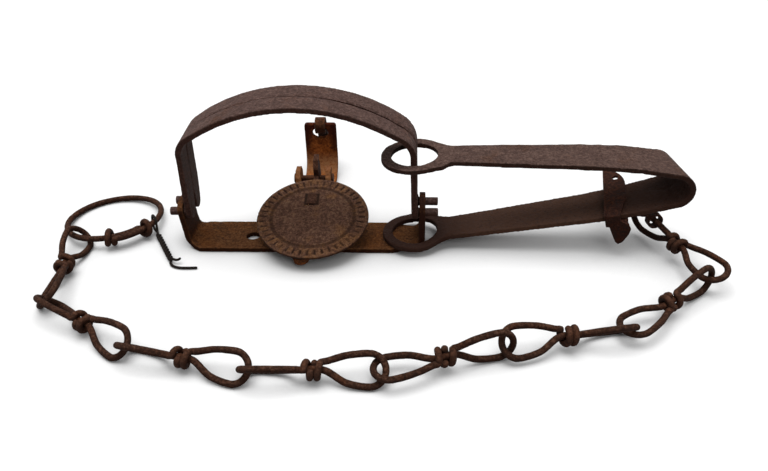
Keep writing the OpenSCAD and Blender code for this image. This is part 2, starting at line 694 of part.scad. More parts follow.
module lever_outline() {
    under = pan_rise - pan_t / 2 - seat_gap;
    top = pan_rise + pan_t / 2 + 0.9;
    difference() {
        union() {
            polygon([
                [tenon_y - tenon_l / 2 - 2.5, under], [tenon_y - tenon_l / 2 - 2.5, under - 1.6],
                [tenon_y + 2, under - 4.6], [-3.6, -2.4], [0, -3.4], [2.6, -2.4],
                [arm_w / 2, 1], [arm_w / 2, arm_top], [-0.6, arm_top], [-arm_w / 2, arm_top - 3],
                [-arm_w / 2, under]]);
            translate([tenon_y - tenon_l / 2, 0]) square([tenon_l, top]);
            circle(3.6);
        }
        translate([notch_in + 0.7, notch_z - dog_t / 2 - 0.35]) square([arm_w, dog_t + 0.9]);
    }
}

module pan_lever() {
    peen = 0.7;
    color([0.4, 0.33, 0.3]) at_pan_pivot() {
        difference() {
            along_x(lever_t) lever_outline();
            rod_x(-far, far, 0, 0, pin_d + 0.3);
        }
        translate([0, tenon_y, pan_rise + pan_t / 2 + seat_gap + peen / 2])
            cube([lever_t + 2 * slot_gap + 0.8, tenon_l + 2 * slot_gap + 0.4, peen], center = true);
    }
}

module dog() {
    color([0.2, 0.16, 0.15]) translate([-dog_off, bar_y, bar_z]) rotate([-dog_turn, 0, 0]) {
        rotate([90, 0, 90]) translate([0, 0, -dog_w / 2]) {
            rotate(-90) rotate_extrude(angle = 330)
                translate([dog_eye_r, 0]) square([dog_t, dog_w]);
        }
        translate([-dog_w / 2, -dog_l + dog_w / 4, -dog_mid - dog_t / 2])
            cube([dog_w, dog_l - dog_w / 4, dog_t]);
        translate([-dog_w / 4, -dog_l, -dog_mid - dog_t / 2]) cube([dog_w / 2, dog_w, dog_t]);
    }
}

module jaw_side_outline() {
    inner = jaw_gap / 2;
    wide = inner + bow_w;
    narrow = inner + leg_w;
    polygon([[pivot_y - end_r, pivot_z], [pivot_y + end_r, pivot_z], [narrow, pivot_z + end_rise],
        [narrow, shoulder_z], [wide, shoulder_z + 12], [wide, jaw_h + 1], [inner, jaw_h + 1],
        [inner, pivot_z + end_rise]]);
    translate([pivot_y, pivot_z]) circle(end_r);
}

// The rear jaw; the front one is its mirror image
module jaw(shade) {
    neck = foot_x + jaw_t / 2 - 0.6;
    color(shade) {
        intersection() {
            translate([0, bow_w / 2 + jaw_gap, 0]) strap_xz(jaw_path, jaw_t, 3 * bow_w);
            along_x() jaw_side_outline();
        }
        rod_x(jaw_x + neck, right_face, pivot_y, pivot_z, 2 * boss_r);
        rod_x(jaw_x - neck, -left_face, pivot_y, pivot_z, 2 * boss_r);
        rod_x(jaw_x + neck, post_out(right_l, right_lean, pivot_z) + stub_right, pivot_y, pivot_z,
            stub_d);
        rod_x(jaw_x - neck, -post_out(left_l, left_lean, pivot_z) - stub_left, pivot_y, pivot_z,
            stub_d);
    }
}

module rear_jaw() {
    jaw([0.3, 0.24, 0.22]);
}

module front_jaw() {
    mirror([0, 1, 0]) jaw([0.34, 0.27, 0.25]);
}

module spring_plan(shoulder) {
    neck = neck_w / 2;
    difference() {
        union() {
            translate([eye_x, 0]) circle(d = eye_d);
            polygon([[eye_x + neck_x, -neck], [eye_x + spring_l + 9, -spring_bow_w / 2 - 0.6],
                [eye_x + spring_l + 9, spring_bow_w / 2 + 0.6], [eye_x + neck_x, neck]]);
            if (shoulder) translate([eye_x, 0]) polygon([[0, 0], [4.8, -eye_d / 2 + 0.9],
                [11.4, -eye_d / 2 + 3], [13.2, -eye_d / 2 + 5.2], [neck_x + 4, -neck]]);
            difference() {
                translate([eye_x, 0])
                    polygon([[0, 0], [fillet_x, -fillet_y], [fillet_x, fillet_y]]);
                for (s = [-1, 1]) translate([eye_x + fillet_x, s * fillet_y]) circle(neck_r);
            }
        }
        translate([eye_x, 0]) circle(d = eye_hole_d);
    }
}

module skewed() {
    translate([eye_x, 0, 0]) rotate([0, 0, spring_skew]) translate([-eye_x, 0, 0]) children();
}

module spring_lower() {
    color([0.33, 0.24, 0.2]) intersection() {
        skewed() strap_xz(lower_path, spring_t, 4 * spring_bow_w);
        linear_extrude(far) spring_plan(false);
    }
}

module spring_upper() {
    color([0.38, 0.29, 0.26]) intersection() {
        skewed() strap_xz(upper_path, spring_t, 4 * spring_bow_w);
        linear_extrude(far) spring_plan(true);
    }
}

module clip_top_outline() {
    half = clip_l / 2;
    rear = clip_half + clip_ear;
    polygon(concat([[-half, -clip_half], [half, -clip_half], [half, clip_half - 2]],
        [for (a = [10 : 10 : 80]) [-half + clip_l * cos(a) * 1, clip_half - 2
            + (clip_ear + 2) * sin(a)]],
        [[-half + 0.8, rear], [-half, rear - 0.8]]));
}

module chain_clip() {
    r = 1.1 + clip_t;
    half = clip_l / 2;
    color([0.42, 0.28, 0.2]) {
        translate([eye_x + clip_x, 0, leaf_mid_z(eye_x + clip_x, 0)])
        rotate([0, 0, spring_skew]) rotate([0, -clip_slope, 0])
        rotate([0, 0, -clip_skew - spring_skew]) {
            translate([0, 0, clip_z - clip_t / 2]) difference() {
                linear_extrude(clip_t) clip_top_outline();
                translate([0.6, clip_half + 3.4, -1]) cylinder(h = 4, d = 2.4);
            }
            translate([-half, -clip_half - clip_t, -clip_z - clip_t / 2])
                cube([clip_l, clip_t + 0.01, 2 * clip_z + clip_t]);
            translate([-half, -clip_half, -clip_z - clip_t / 2]) cube([clip_l, 12, clip_t]);
            translate([0, -clip_half, -clip_z]) rotate([90, 0, 0]) linear_extrude(clip_t)
                polygon([[1.2 - half, 0], [half, 0], [half + 0.6, -clip_point * 0.3],
                    [half * 0.9, -clip_point * 0.55], [half * 0.3, -clip_point * 0.9],
                    [-half * 0.15, -clip_point], [-half * 0.4, -clip_point * 0.85]]);
        }
        translate(curl_at) rotate([90, 0, curl_turn]) difference() {
            translate([0, 0, -curl_l / 2]) cylinder(h = curl_l, r = curl_r + curl_wall);
            translate([0, 0, -curl_l]) cylinder(h = 2 * curl_l, r = curl_r);
        }
        tail_x = eye_x + clip_x + half - 2;
        tail_z = leaf_mid_z(tail_x, curl_at[1]) - clip_z / cos(clip_slope);
        rise = tail_z - curl_at[2] - curl_r - curl_wall / 2;
        reach = curl_at[0] - tail_x;
        translate([tail_x, curl_at[1], tail_z]) rotate([0, atan2(rise, reach), 0])
            translate([0, -tail_w / 2, -curl_wall / 2])
                cube([norm([rise, reach]), tail_w, curl_wall]);
    }
}

base_strap();
cross_strap();
cross_rivets();
pan_pin();
pan();
pan_lever();
dog();
front_jaw();
rear_jaw();
spring_lower();
spring_upper();
chain_clip();
link(0);  // link_1
link(1);  // link_2
link(2);  // link_3
link(3);  // link_4
link(4);  // link_5
link(5);  // link_6
link(6);  // link_7
link(7);  // link_8
end_ring();
tag_wire();
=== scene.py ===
# Looks of the old foothold trap: worn rusty iron, knotted wire chain, ring and tag wire.
import math

import bmesh
import bpy
import numpy as np
from mathutils import Matrix, Vector


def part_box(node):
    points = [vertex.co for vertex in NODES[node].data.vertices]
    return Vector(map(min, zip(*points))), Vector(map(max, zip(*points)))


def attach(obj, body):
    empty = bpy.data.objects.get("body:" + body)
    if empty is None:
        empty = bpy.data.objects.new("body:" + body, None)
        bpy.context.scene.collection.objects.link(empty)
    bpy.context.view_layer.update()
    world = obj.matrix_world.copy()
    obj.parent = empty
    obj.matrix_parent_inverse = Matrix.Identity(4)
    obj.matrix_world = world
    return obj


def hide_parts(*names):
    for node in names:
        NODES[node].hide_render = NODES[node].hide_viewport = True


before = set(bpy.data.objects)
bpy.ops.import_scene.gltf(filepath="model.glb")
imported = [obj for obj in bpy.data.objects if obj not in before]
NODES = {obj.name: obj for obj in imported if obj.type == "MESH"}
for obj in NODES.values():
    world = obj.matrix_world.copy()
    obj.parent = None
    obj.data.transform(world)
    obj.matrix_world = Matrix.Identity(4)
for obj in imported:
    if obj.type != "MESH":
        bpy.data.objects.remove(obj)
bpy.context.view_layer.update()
MM = 0.001
RAD = math.pi / 180

# Camera, fitted to points on the photograph: place in metres, focal length and width in pixels
pitch, yaw, roll = 33.42 * RAD, -3.57 * RAD, -1.545 * RAD
CAMERA_AT = (0.04961, -0.28125, 0.18825)
FOCAL_PX, PHOTO_WIDTH_PX = 787.1, 768
SENSOR_MM = 36
NEAREST, FARTHEST = 0.01, 20
ahead = Vector((math.sin(yaw) * math.cos(pitch), math.cos(yaw) * math.cos(pitch), -math.sin(pitch)))
right = Vector((math.cos(yaw), -math.sin(yaw), 0))
over = right.cross(ahead)
cam_x = right * math.cos(roll) + over * math.sin(roll)
cam_y = over * math.cos(roll) - right * math.sin(roll)
camera = bpy.data.objects.new("camera", bpy.data.cameras.new("camera"))
bpy.context.collection.objects.link(camera)
camera.data.sensor_width = SENSOR_MM
camera.data.lens = FOCAL_PX / PHOTO_WIDTH_PX * SENSOR_MM
camera.data.clip_start = NEAREST
camera.data.clip_end = FARTHEST
place = Matrix((cam_x, cam_y, -ahead)).transposed().to_4x4()
place.translation = Vector(CAMERA_AT)
camera.matrix_world = place
bpy.context.scene.camera = camera
bpy.context.scene.view_settings.view_transform = "Standard"

# Factors that turn a lattice point and a seed into an even spread of values
HASH_X, HASH_Y, HASH_Z, HASH_SEED, HASH_MIX = 73856093, 19349663, 83492791, 2654435761, 1274126177
HASH_BITS = 0xFFFFFF
SEED_SHIFT = 17.31


# Noise on points in millimetres
def lattice(i, seed):
    h = (i[:, 0] * HASH_X) ^ (i[:, 1] * HASH_Y) ^ (i[:, 2] * HASH_Z) ^ (seed * HASH_SEED)
    h = (h ^ (h >> 13)) * HASH_MIX
    h = (h ^ (h >> 16)) & HASH_BITS
    return h / float(HASH_BITS >> 1) - 1.0


def noise(p, size, seed):
    q = p / size + seed * SEED_SHIFT
    i = np.floor(q).astype(np.int64)
    f = q - i
    u = f * f * (3 - 2 * f)
    total = np.zeros(len(p))
    for dx in (0, 1):
        for dy in (0, 1):
            for dz in (0, 1):
                w = (u[:, 0] if dx else 1 - u[:, 0]) * (u[:, 1] if dy else 1 - u[:, 1]) \
                    * (u[:, 2] if dz else 1 - u[:, 2])
                total += w * lattice(i + np.array((dx, dy, dz)), seed)
    return total


# Noise with a second layer of half the size and half the strength
def rough_noise(p, size, seed):
    total = np.zeros(len(p))
    for k in range(2):
        total += noise(p, size / 2 ** k, seed + 7 * k) / 2 ** k
    return total


# Shader nodes
def ramp(nt, source, *stops):
    node = nt.nodes.new("ShaderNodeValToRGB")
    el = node.color_ramp.elements
    while len(el) < len(stops):
        el.new(0.5)
    for e, (at, c) in zip(el, stops):
        e.position = at
        e.color = (c[0], c[1], c[2], 1) if isinstance(c, (tuple, list)) else (c, c, c, 1)
    nt.links.new(source, node.inputs[0])
    return node.outputs[0]


def mixed(nt, factor, a, b, kind="MIX"):
    node = nt.nodes.new("ShaderNodeMix")
    node.data_type = "RGBA"
    node.blend_type = kind
    for socket, value in ((node.inputs[0], factor), (node.inputs[6], a), (node.inputs[7], b)):
        if isinstance(value, bpy.types.NodeSocket):
            nt.links.new(value, socket)
        elif isinstance(value, (tuple, list)):
            socket.default_value = (value[0], value[1], value[2], 1)
        else:
            socket.default_value = value
    return node.outputs[2]


def maths(nt, kind, a, b=0.0):
    node = nt.nodes.new("ShaderNodeMath")
    node.operation = kind
    for socket, value in zip(node.inputs, (a, b)):
        if isinstance(value, bpy.types.NodeSocket):
            nt.links.new(value, socket)
        else:
            socket.default_value = value
    return node.outputs[0]


def times(nt, a, b):
    return maths(nt, "MULTIPLY", a, b)


def plus(nt, a, b):
    return maths(nt, "ADD", a, b)


def texture(nt, where, scale, detail, rough, distort=0.0):
    node = nt.nodes.new("ShaderNodeTexNoise")
    node.inputs["Scale"].default_value = scale
    node.inputs["Detail"].default_value = detail
    node.inputs["Roughness"].default_value = rough
    node.inputs["Distortion"].default_value = distort
    nt.links.new(where, node.inputs["Vector"])
    return node.outputs[0]


def attribute(nt, name):
    node = nt.nodes.new("ShaderNodeAttribute")
    node.attribute_name = name
    return node.outputs["Fac"]


# Texture scales of the iron per metre, from broad to fine, and the depth of its relief in metres
BROAD_SCALE, PATCH_SCALE, PIT_SCALE, GRAIN_SCALE, FINE_SCALE = 55, 230, 560, 800, 1500
RELIEF = 0.0006
SPECULAR_TINT = (1.0, 0.75, 0.62, 1)
WHITE = (1.0, 1.0, 1.0)


# The side colour and the two normal heights after it set the painted shade on sides and undersides
def iron(name, dark, mid, light, rust, rusty, gloss, specular, bump=0.8, side=(0.42, 0.3, 0.26),
         painted_shade_fade=(0.0, 0.6), mask=None, groove=None, high=()):
    m = bpy.data.materials.new(name)
    m.use_nodes = True
    nt = m.node_tree
    bsdf = nt.nodes["Principled BSDF"]
    coord = nt.nodes.new("ShaderNodeTexCoord")
    where = coord.outputs["Object"]
    broad = texture(nt, where, BROAD_SCALE, 4, 0.55, 0.4)
    patch = texture(nt, where, PATCH_SCALE, 6, 0.62, 0.3)
    grain = texture(nt, where, GRAIN_SCALE, 5, 0.7)
    fine = texture(nt, where, FINE_SCALE, 4, 0.7)
    cells = nt.nodes.new("ShaderNodeTexVoronoi")
    cells.inputs["Scale"].default_value = PIT_SCALE
    nt.links.new(where, cells.inputs["Vector"])
    pits = ramp(nt, cells.outputs["Distance"], (0.08, 0.0), (0.34, 1.0))
    # Tone in two sizes of mottling, then rust in patches
    tone = plus(nt, times(nt, patch, 0.3), times(nt, grain, 0.7))
    colour = ramp(nt, tone, (0.39, dark), (0.5, mid), (0.62, light))
    share = plus(nt, times(nt, broad, 0.62), times(nt, patch, 0.38))
    where_rust = ramp(nt, share, (0.62 - 0.24 * rusty, 0.0), (0.74 - 0.2 * rusty, 1.0))
    if mask:
        at_mask = times(nt, attribute(nt, mask), ramp(nt, patch, (0.35, 0.1), (0.65, 1.0)))
        where_rust = maths(nt, "MAXIMUM", where_rust, at_mask)
    speckled = mixed(nt, ramp(nt, grain, (0.4, 0.0), (0.6, 1.0)), tuple(0.45 * q for q in rust), rust)
    colour = mixed(nt, times(nt, where_rust, 0.8), colour, speckled)
    # Fine dark and pale specks, and dark pits
    half_dark = tuple(0.5 * q for q in dark)
    pale = tuple(0.5 * (q + r) * 1.3 for q, r in zip(light, rust))
    colour = mixed(nt, times(nt, ramp(nt, fine, (0.52, 0.0), (0.62, 1.0)), 0.55), colour, half_dark)
    colour = mixed(nt, times(nt, ramp(nt, fine, (0.34, 1.0), (0.42, 0.0)), 0.5), colour, pale)
    colour = mixed(nt, 0.4, colour, mixed(nt, pits, half_dark, colour))
    # Painted shade: by the object-space normal, sides and undersides are multiplied by the darker, redder
    # side colour, while faces that lie upward keep their colour
    facing = nt.nodes.new("ShaderNodeSeparateXYZ")
    nt.links.new(coord.outputs["Normal"], facing.inputs[0])
    turned = ramp(nt, facing.outputs[2], (painted_shade_fade[0], 0.0), (painted_shade_fade[1], 1.0))
    colour = mixed(nt, 1.0, colour, mixed(nt, turned, side, WHITE), "MULTIPLY")
    # Worn edges catch a paler tone
    geo = nt.nodes.new("ShaderNodeNewGeometry")
    edge = ramp(nt, geo.outputs["Pointiness"], (0.515, 0.0), (0.56, 1.0))
    edge_tone = tuple(min(1.0, 1.15 * q + 0.01) for q in light)
    colour = mixed(nt, times(nt, edge, times(nt, grain, 0.5)), colour, edge_tone)
    if groove:
        colour = mixed(nt, attribute(nt, groove), colour, tuple(0.3 * q for q in dark))
    axis = nt.nodes.new("ShaderNodeSeparateXYZ")
    nt.links.new(where, axis.inputs[0])
    for rule, shade in high:
        colour = mixed(nt, rule(nt, axis, grain), colour, shade)
    nt.links.new(colour, bsdf.inputs["Base Color"])
    nt.links.new(ramp(nt, tone, (0.3, gloss - 0.1), (0.7, gloss + 0.2)), bsdf.inputs["Roughness"])
    bsdf.inputs["Specular IOR Level"].default_value = specular
    bsdf.inputs["Specular Tint"].default_value = SPECULAR_TINT
    bsdf.inputs["Metallic"].default_value = 0.0
    height = plus(nt, times(nt, grain, 0.8), plus(nt, times(nt, patch, 0.5), times(nt, pits, 0.3)))
    height = plus(nt, height, times(nt, fine, 0.4))
    b = nt.nodes.new("ShaderNodeBump")
    b.inputs["Strength"].default_value = bump
    b.inputs["Distance"].default_value = RELIEF
    nt.links.new(height, b.inputs["Height"])
    nt.links.new(b.outputs[0], bsdf.inputs["Normal"])
    return m


# Colour rules. They measure from the origin, where 1 is 40 mm up, 67 mm back or front, or 200 mm right
UP, BACK, FRONT, RIGHTWARD = (2, 25.0), (1, 15.0), (1, -15.0), (0, 5.0)
BESIDE = 100.0
cross_low, cross_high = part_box("cross_strap")
POST_MIDDLE = 0.5 * (cross_low[0] + cross_high[0])


def along(nt, axis, way):
    output, scale = way
    return times(nt, axis.outputs[output], scale)


def tan_and_curve_highlight(nt, axis, grain):
    # Painted highlight: paler tan on the low curve of the dog post, where it bends up toward the light; a
    # paler tan rust on the ears
    z = ramp(nt, along(nt, axis, UP), (0.05, 0.0), (0.09, 1.0), (0.19, 1.0), (0.3, 0.0))
    y = ramp(nt, along(nt, axis, BACK), (0.1, 0.0), (0.2, 1.0))
    ears = ramp(nt, along(nt, axis, BACK), (0.32, 0.0), (0.37, 1.0), (0.54, 1.0), (0.6, 0.0))
    return times(nt, maths(nt, "MAXIMUM", times(nt, z, y), ears), ramp(nt, grain, (0.36, 0.35), (0.56, 1.0)))


def red_rust_and_head_shade(nt, axis, grain):
    # Dark red-brown rust on the upright head of the dog post, darkened further as painted shade
    z = ramp(nt, along(nt, axis, UP), (0.38, 0.0), (0.56, 1.0))
    return times(nt, z, ramp(nt, grain, (0.4, 1.0), (0.66, 0.7)))


def dark_margin(nt, axis, grain):
    # Both long edges of the post are darker than its middle
    x = times(nt, maths(nt, "ABSOLUTE", plus(nt, axis.outputs[0], -POST_MIDDLE)), BESIDE)
    z = ramp(nt, along(nt, axis, UP), (0.22, 0.0), (0.36, 1.0))
    y = ramp(nt, along(nt, axis, BACK), (0.6, 0.0), (0.68, 1.0))
    return times(nt, times(nt, z, y), ramp(nt, x, (0.35, 0.0), (0.62, 0.85)))


def dark_front(nt, axis, grain):
    # Duller brown on the pointed front tip
    y = ramp(nt, along(nt, axis, FRONT), (0.1, 0.0), (0.3, 0.85))
    return times(nt, y, ramp(nt, grain, (0.4, 1.0), (0.66, 0.5)))


def dark_ends(nt, axis, grain):
    # The base's upright end posts are darker than its bed, the right one most
    z = ramp(nt, along(nt, axis, UP), (0.1, 0.0), (0.2, 1.0))
    x = ramp(nt, plus(nt, along(nt, axis, RIGHTWARD), 0.5), (0.2, 0.25), (0.72, 1.0))
    return times(nt, times(nt, z, x), ramp(nt, grain, (0.4, 1.0), (0.66, 0.6)))


def brown_low(nt, axis, grain):
    # The lower leaf is a browner rust than the upper one
    z = ramp(nt, along(nt, axis, UP), (0.64, 1.0), (0.78, 0.0))
    return times(nt, z, ramp(nt, grain, (0.36, 0.3), (0.56, 0.85)))


def painted_bow_shade(nt, axis, grain):
    # Painted shade: deep brown, near black, on the eye under the jaws and inside the bow
    x = ramp(nt, along(nt, axis, RIGHTWARD), (0.28, 0.8), (0.36, 0.0), (0.56, 0.0), (0.74, 0.8))
    z = ramp(nt, along(nt, axis, UP), (0.8, 1.0), (0.96, 0.0))
    return times(nt, x, z)


# Each iron by its dark, middle, light and rust colours, then its share of rust, roughness and specular; its
# side colour is the painted shade on sides and undersides
base_iron = iron("base_iron", (0.04, 0.016, 0.007), (0.105, 0.043, 0.017), (0.19, 0.086, 0.038),
                 (0.17, 0.06, 0.018), 0.55, 0.8, 0.08, side=(0.2, 0.13, 0.1),
                 high=((dark_ends, (0.019, 0.006, 0.004)),))
post_iron = iron("post_iron", (0.1, 0.026, 0.007), (0.3, 0.088, 0.02), (0.46, 0.16, 0.045),
                 (0.46, 0.14, 0.026), 0.6, 0.8, 0.08, side=(1.0, 0.95, 0.9),
                 high=((tan_and_curve_highlight, (0.3, 0.135, 0.058)), (red_rust_and_head_shade, (0.05, 0.008, 0.005)),
                       (dark_margin, (0.03, 0.006, 0.004)), (dark_front, (0.036, 0.017, 0.012))))
pan_iron = iron("pan_iron", (0.042, 0.019, 0.012), (0.1, 0.05, 0.034), (0.175, 0.098, 0.062),
                (0.24, 0.105, 0.034), 0.4, 0.78, 0.1, side=(0.24, 0.16, 0.13), mask="ochre", groove="groove")
jaw_iron = iron("jaw_iron", (0.034, 0.018, 0.015), (0.08, 0.046, 0.039), (0.145, 0.092, 0.079),
                (0.085, 0.033, 0.017), 0.3, 0.74, 0.14)
spring_steel = iron("spring_steel", (0.034, 0.018, 0.015), (0.08, 0.047, 0.039), (0.14, 0.09, 0.074),
                    (0.085, 0.035, 0.018), 0.36, 0.74, 0.14, side=(0.24, 0.15, 0.12),
                    high=((brown_low, (0.068, 0.032, 0.019)), (painted_bow_shade, (0.016, 0.0055, 0.004))))
clip_iron = iron("clip_iron", (0.011, 0.0035, 0.0025), (0.03, 0.0097, 0.0062), (0.082, 0.034, 0.022),
                 (0.09, 0.026, 0.009), 0.4, 0.74, 0.12)
dark_iron = iron("dark_iron", (0.018, 0.007, 0.004), (0.055, 0.023, 0.014), (0.11, 0.056, 0.038),
                 (0.12, 0.04, 0.013), 0.4, 0.74, 0.12)
# On the chain and ring wires only faces that lie nearly flat on top keep their colour: a narrow painted
# highlight along the top, painted shade on the rest
chain_wire = iron("chain_wire", (0.011, 0.0042, 0.0026), (0.031, 0.0118, 0.0068), (0.105, 0.055, 0.037),
                  (0.105, 0.031, 0.009), 0.36, 0.7, 0.06, side=(0.3, 0.16, 0.11), painted_shade_fade=(0.1, 0.95),
                  mask="knot")
ring_wire = iron("ring_wire", (0.013, 0.005, 0.003), (0.036, 0.0145, 0.0085), (0.1, 0.05, 0.033),
                 (0.1, 0.033, 0.01), 0.4, 0.7, 0.06, side=(0.3, 0.16, 0.11), painted_shade_fade=(0.1, 0.95))
tag_black = iron("tag_black", (0.003, 0.002, 0.002), (0.006, 0.005, 0.004), (0.014, 0.011, 0.009),
                 (0.02, 0.009, 0.005), 0.15, 0.7, 0.12, 0.5)

# Wear: sizes in mm, the noise where pits and craters begin, and a crater's depth over a pit's
DENT_SIZE, PIT_SIZE, CRATER_SIZE = 9.0, 1.5, 3.1
PIT_FROM, CRATER_FROM, CRATER_DEPTH = 0.12, 0.45, 1.6


# A node's mesh in millimetres, placed in the frame
def copied(node, reshape):
    bm = bmesh.new()
    bm.from_mesh(NODES[node].data)
    bm.transform(Matrix.Scale(1000, 4) @ NODES[node].matrix_world)
    if reshape:
        reshape(bm)
    bmesh.ops.remove_doubles(bm, verts=bm.verts, dist=0.001)
    mesh = bpy.data.meshes.new("copied")
    bm.to_mesh(mesh)
    bm.free()
    return mesh


def finished(name, mesh, body, material, nodes):
    obj = bpy.data.objects.new(name, mesh)
    bpy.context.collection.objects.link(obj)
    mesh.materials.clear()
    mesh.materials.append(material)
    mesh.polygons.foreach_set("use_smooth", np.ones(len(mesh.polygons), bool))
    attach(obj, body)
    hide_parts(*nodes)


# Worn copy of a node: its edges rounded by wear and its faces dented and pitted by rust
def worn(name, node, body, material, voxel, dents, pits, reshape=None, press=None, warp=None, seed=0):
    rough = bpy.data.objects.new("rough", copied(node, reshape))
    bpy.context.collection.objects.link(rough)
    remesh = rough.modifiers.new("remesh", "REMESH")
    remesh.mode = "VOXEL"
    remesh.voxel_size = voxel * 1
    smooth = rough.modifiers.new("smooth", "SMOOTH")
    smooth.factor = 0.5
    smooth.iterations = 2
    graph = bpy.context.evaluated_depsgraph_get()
    mesh = bpy.data.meshes.new_from_object(rough.evaluated_get(graph))
    old = rough.data
    bpy.data.objects.remove(rough)
    bpy.data.meshes.remove(old)
    mesh.name = name
    n = len(mesh.vertices)
    p = np.zeros(n * 3, np.float32)
    mesh.vertices.foreach_get("co", p)
    p = p.reshape(-1, 3).astype(float)
    d = np.zeros(n * 3, np.float32)
    mesh.vertex_normals.foreach_get("vector", d)
    d = d.reshape(-1, 3).astype(float)
    seed = seed or len(name) + sum(ord(c) for c in name) % 31
    dent = np.clip(0.5 + 0.5 * rough_noise(p, DENT_SIZE, seed), 0, 1.2)
    pit = np.clip(rough_noise(p, PIT_SIZE, seed + 3) - PIT_FROM, 0, 1.0)
    crater = np.clip(noise(p, CRATER_SIZE, seed + 5) - CRATER_FROM, 0, 1)
    push = -dents * dent - pits * pit - CRATER_DEPTH * pits * crater
    if press:
        sunk, marks = press(p)
        push = push - sunk
        for key, value in marks.items():
            mesh.attributes.new(key, "FLOAT", "POINT").data.foreach_set("value", value.astype(np.float32))
    p = p + d * push[:, None]
    if warp:
        p = warp(p)
    mesh.vertices.foreach_set("co", (p * MM).astype(np.float32).ravel())
    mesh.update()
    finished(name, mesh, body, material, [node])


# The pan in mm and degrees: hinge, droop, the plate's centre from the hinge, tenon and marks
PAN_HINGE, PAN_SIDE, PAN_DROOP = (0.0, 30.0, 13.5), 0.8, -12.4
PLATE_X, PLATE_Y, PLATE_TOP = 1.4, -31.0, 5.5
TENON_Y, TENON_HALF_X, TENON_HALF_Y = -20.5, 2.6, 3.1
TICKS, TICKS_FROM, TICKS_TO, TICK_DEPTH = 44, 19.3, 22.3, 0.4
GROOVE_R, GROOVE_Z, OCHRE_R = 17.6, 5.0, 15.8


# Shallow plain ticks round the rim of the pan, its ring groove, and the gap round the lever's tenon
def rim_ticks(p):
    a = PAN_DROOP * RAD
    q = p - np.array(PAN_HINGE) - np.array((PAN_SIDE, 0, 0))
    x = q[:, 0] - PLATE_X
    y = q[:, 1] * math.cos(a) - q[:, 2] * math.sin(a)
    z = q[:, 1] * math.sin(a) + q[:, 2] * math.cos(a)
    tenon = np.maximum(np.abs(q[:, 0]) - TENON_HALF_X, np.abs(y - TENON_Y) - TENON_HALF_Y)
    y = y - PLATE_Y
    r = np.hypot(x, y)
    turn = np.arctan2(y, x)
    top = np.clip((z - PLATE_TOP) / 0.2, 0, 1)
    ring = np.clip((r - TICKS_FROM) / 0.3, 0, 1) * np.clip((TICKS_TO - r) / 0.3, 0, 1)
    tick = np.clip((np.cos(turn * TICKS) - 0.45) / 0.3, 0, 1)
    kept = np.clip(0.8 + 0.5 * noise(p, 6.0, 9), 0.3, 1)
    cut = top * ring * tick * kept
    in_groove = np.clip((1.0 - np.abs(r - GROOVE_R)) / 0.5, 0, 1) * np.clip((z - GROOVE_Z) / 0.2, 0, 1)
    outline = np.clip((0.75 - np.abs(tenon)) / 0.4, 0, 1) * top
    dark = np.clip(0.9 * cut + 0.55 * in_groove + 0.9 * outline, 0, 1)
    spots = np.clip(0.6 + noise(p, 2.2, 4), 0, 1)
    ochre = 0.8 * top * np.clip((r - OCHRE_R) / 1.5, 0, 1) * spots * (1 - tick)
    return TICK_DEPTH * cut, {"groove": dark, "ochre": ochre}


# Opens the line between the two jaws above their legs, most at the right
def jaw_line(p):
    near = np.clip((1.5 - np.abs(p[:, 1])) / 0.9, 0, 1) * np.clip((p[:, 2] - 40) / 8, 0, 1)
    return near * (0.12 + 0.55 * np.clip((p[:, 0] - 5) / 28, 0, 1)), {}


# The spring is one strip of steel, split at its bow: the end of the lower half goes up inside the upper one
BOW_FROM_X, BOW_SPLIT_Z, END_BAND = 140, 30.6, 0.02
TONGUE_UP, LIP_DOWN = 1.4, 0.4


def bow_tongue(part):
    end = max(v.co.z for v in part.verts if v.co.x > BOW_FROM_X)
    for v in part.verts:
        if v.co.x > BOW_FROM_X and v.co.z > end - END_BAND:
            v.co.z += TONGUE_UP


def bow_lip(part):
    end = min(v.co.z for v in part.verts if v.co.x > BOW_FROM_X)
    for v in part.verts:
        if v.co.x > BOW_FROM_X and v.co.z < end + END_BAND:
            v.co.z -= LIP_DOWN


def slim_tongue(p):
    up = np.clip(p[:, 2] - BOW_SPLIT_Z, 0, 2) * (p[:, 0] > BOW_FROM_X)
    return 0.16 * np.clip(up / 0.25, 0, 1) + 0.1 * up ** 2, {}


# The clip is narrow where it folds over the leaf's front edge, and its left edge is turned up
def pinch(p):
    across, level = np.array((0.957, -0.163, 0.231)), np.array((-0.246, -0.05, 0.968))
    inward = np.array((0.15, 0.985, 0.09))
    u = np.clip(p @ across - 122.4, 0, 9)
    v = p @ inward - 8.9
    up = p @ level + 11.4
    front = np.clip(1 - v / 12.5, 0, 1) * np.clip((up + 4) / 2.5, 0, 1)
    turned = np.clip(1 - u / 1.1, 0, 1) * np.clip((up + 0.4) / 0.4, 0, 1)
    return p - across * (0.34 * u * front)[:, None] + level * (0.8 * turned)[:, None]


# The three numbers are the voxel size and the depths of dents and pits, in mm
worn("base", "base_strap", "base", base_iron, 0.4, 0.12, 0.11)
worn("cross", "cross_strap", "base", post_iron, 0.36, 0.12, 0.12)
worn("rivets", "cross_rivets", "base", dark_iron, 0.25, 0.06, 0.06)
worn("ear_pin", "pan_pin", "base", dark_iron, 0.25, 0.05, 0.05)
worn("pan_plate", "pan", "pan", pan_iron, 0.28, 0.08, 0.1, press=rim_ticks)
worn("lever", "pan_lever", "pan", dark_iron, 0.25, 0.05, 0.06)
worn("dog_strap", "dog", "dog", dark_iron, 0.25, 0.05, 0.06)
worn("jaw_front", "front_jaw", "front_jaw", jaw_iron, 0.36, 0.1, 0.09, press=jaw_line)
worn("jaw_rear", "rear_jaw", "rear_jaw", jaw_iron, 0.36, 0.1, 0.09, press=jaw_line)
worn("clip", "chain_clip", "spring", clip_iron, 0.25, 0.05, 0.06, warp=pinch)
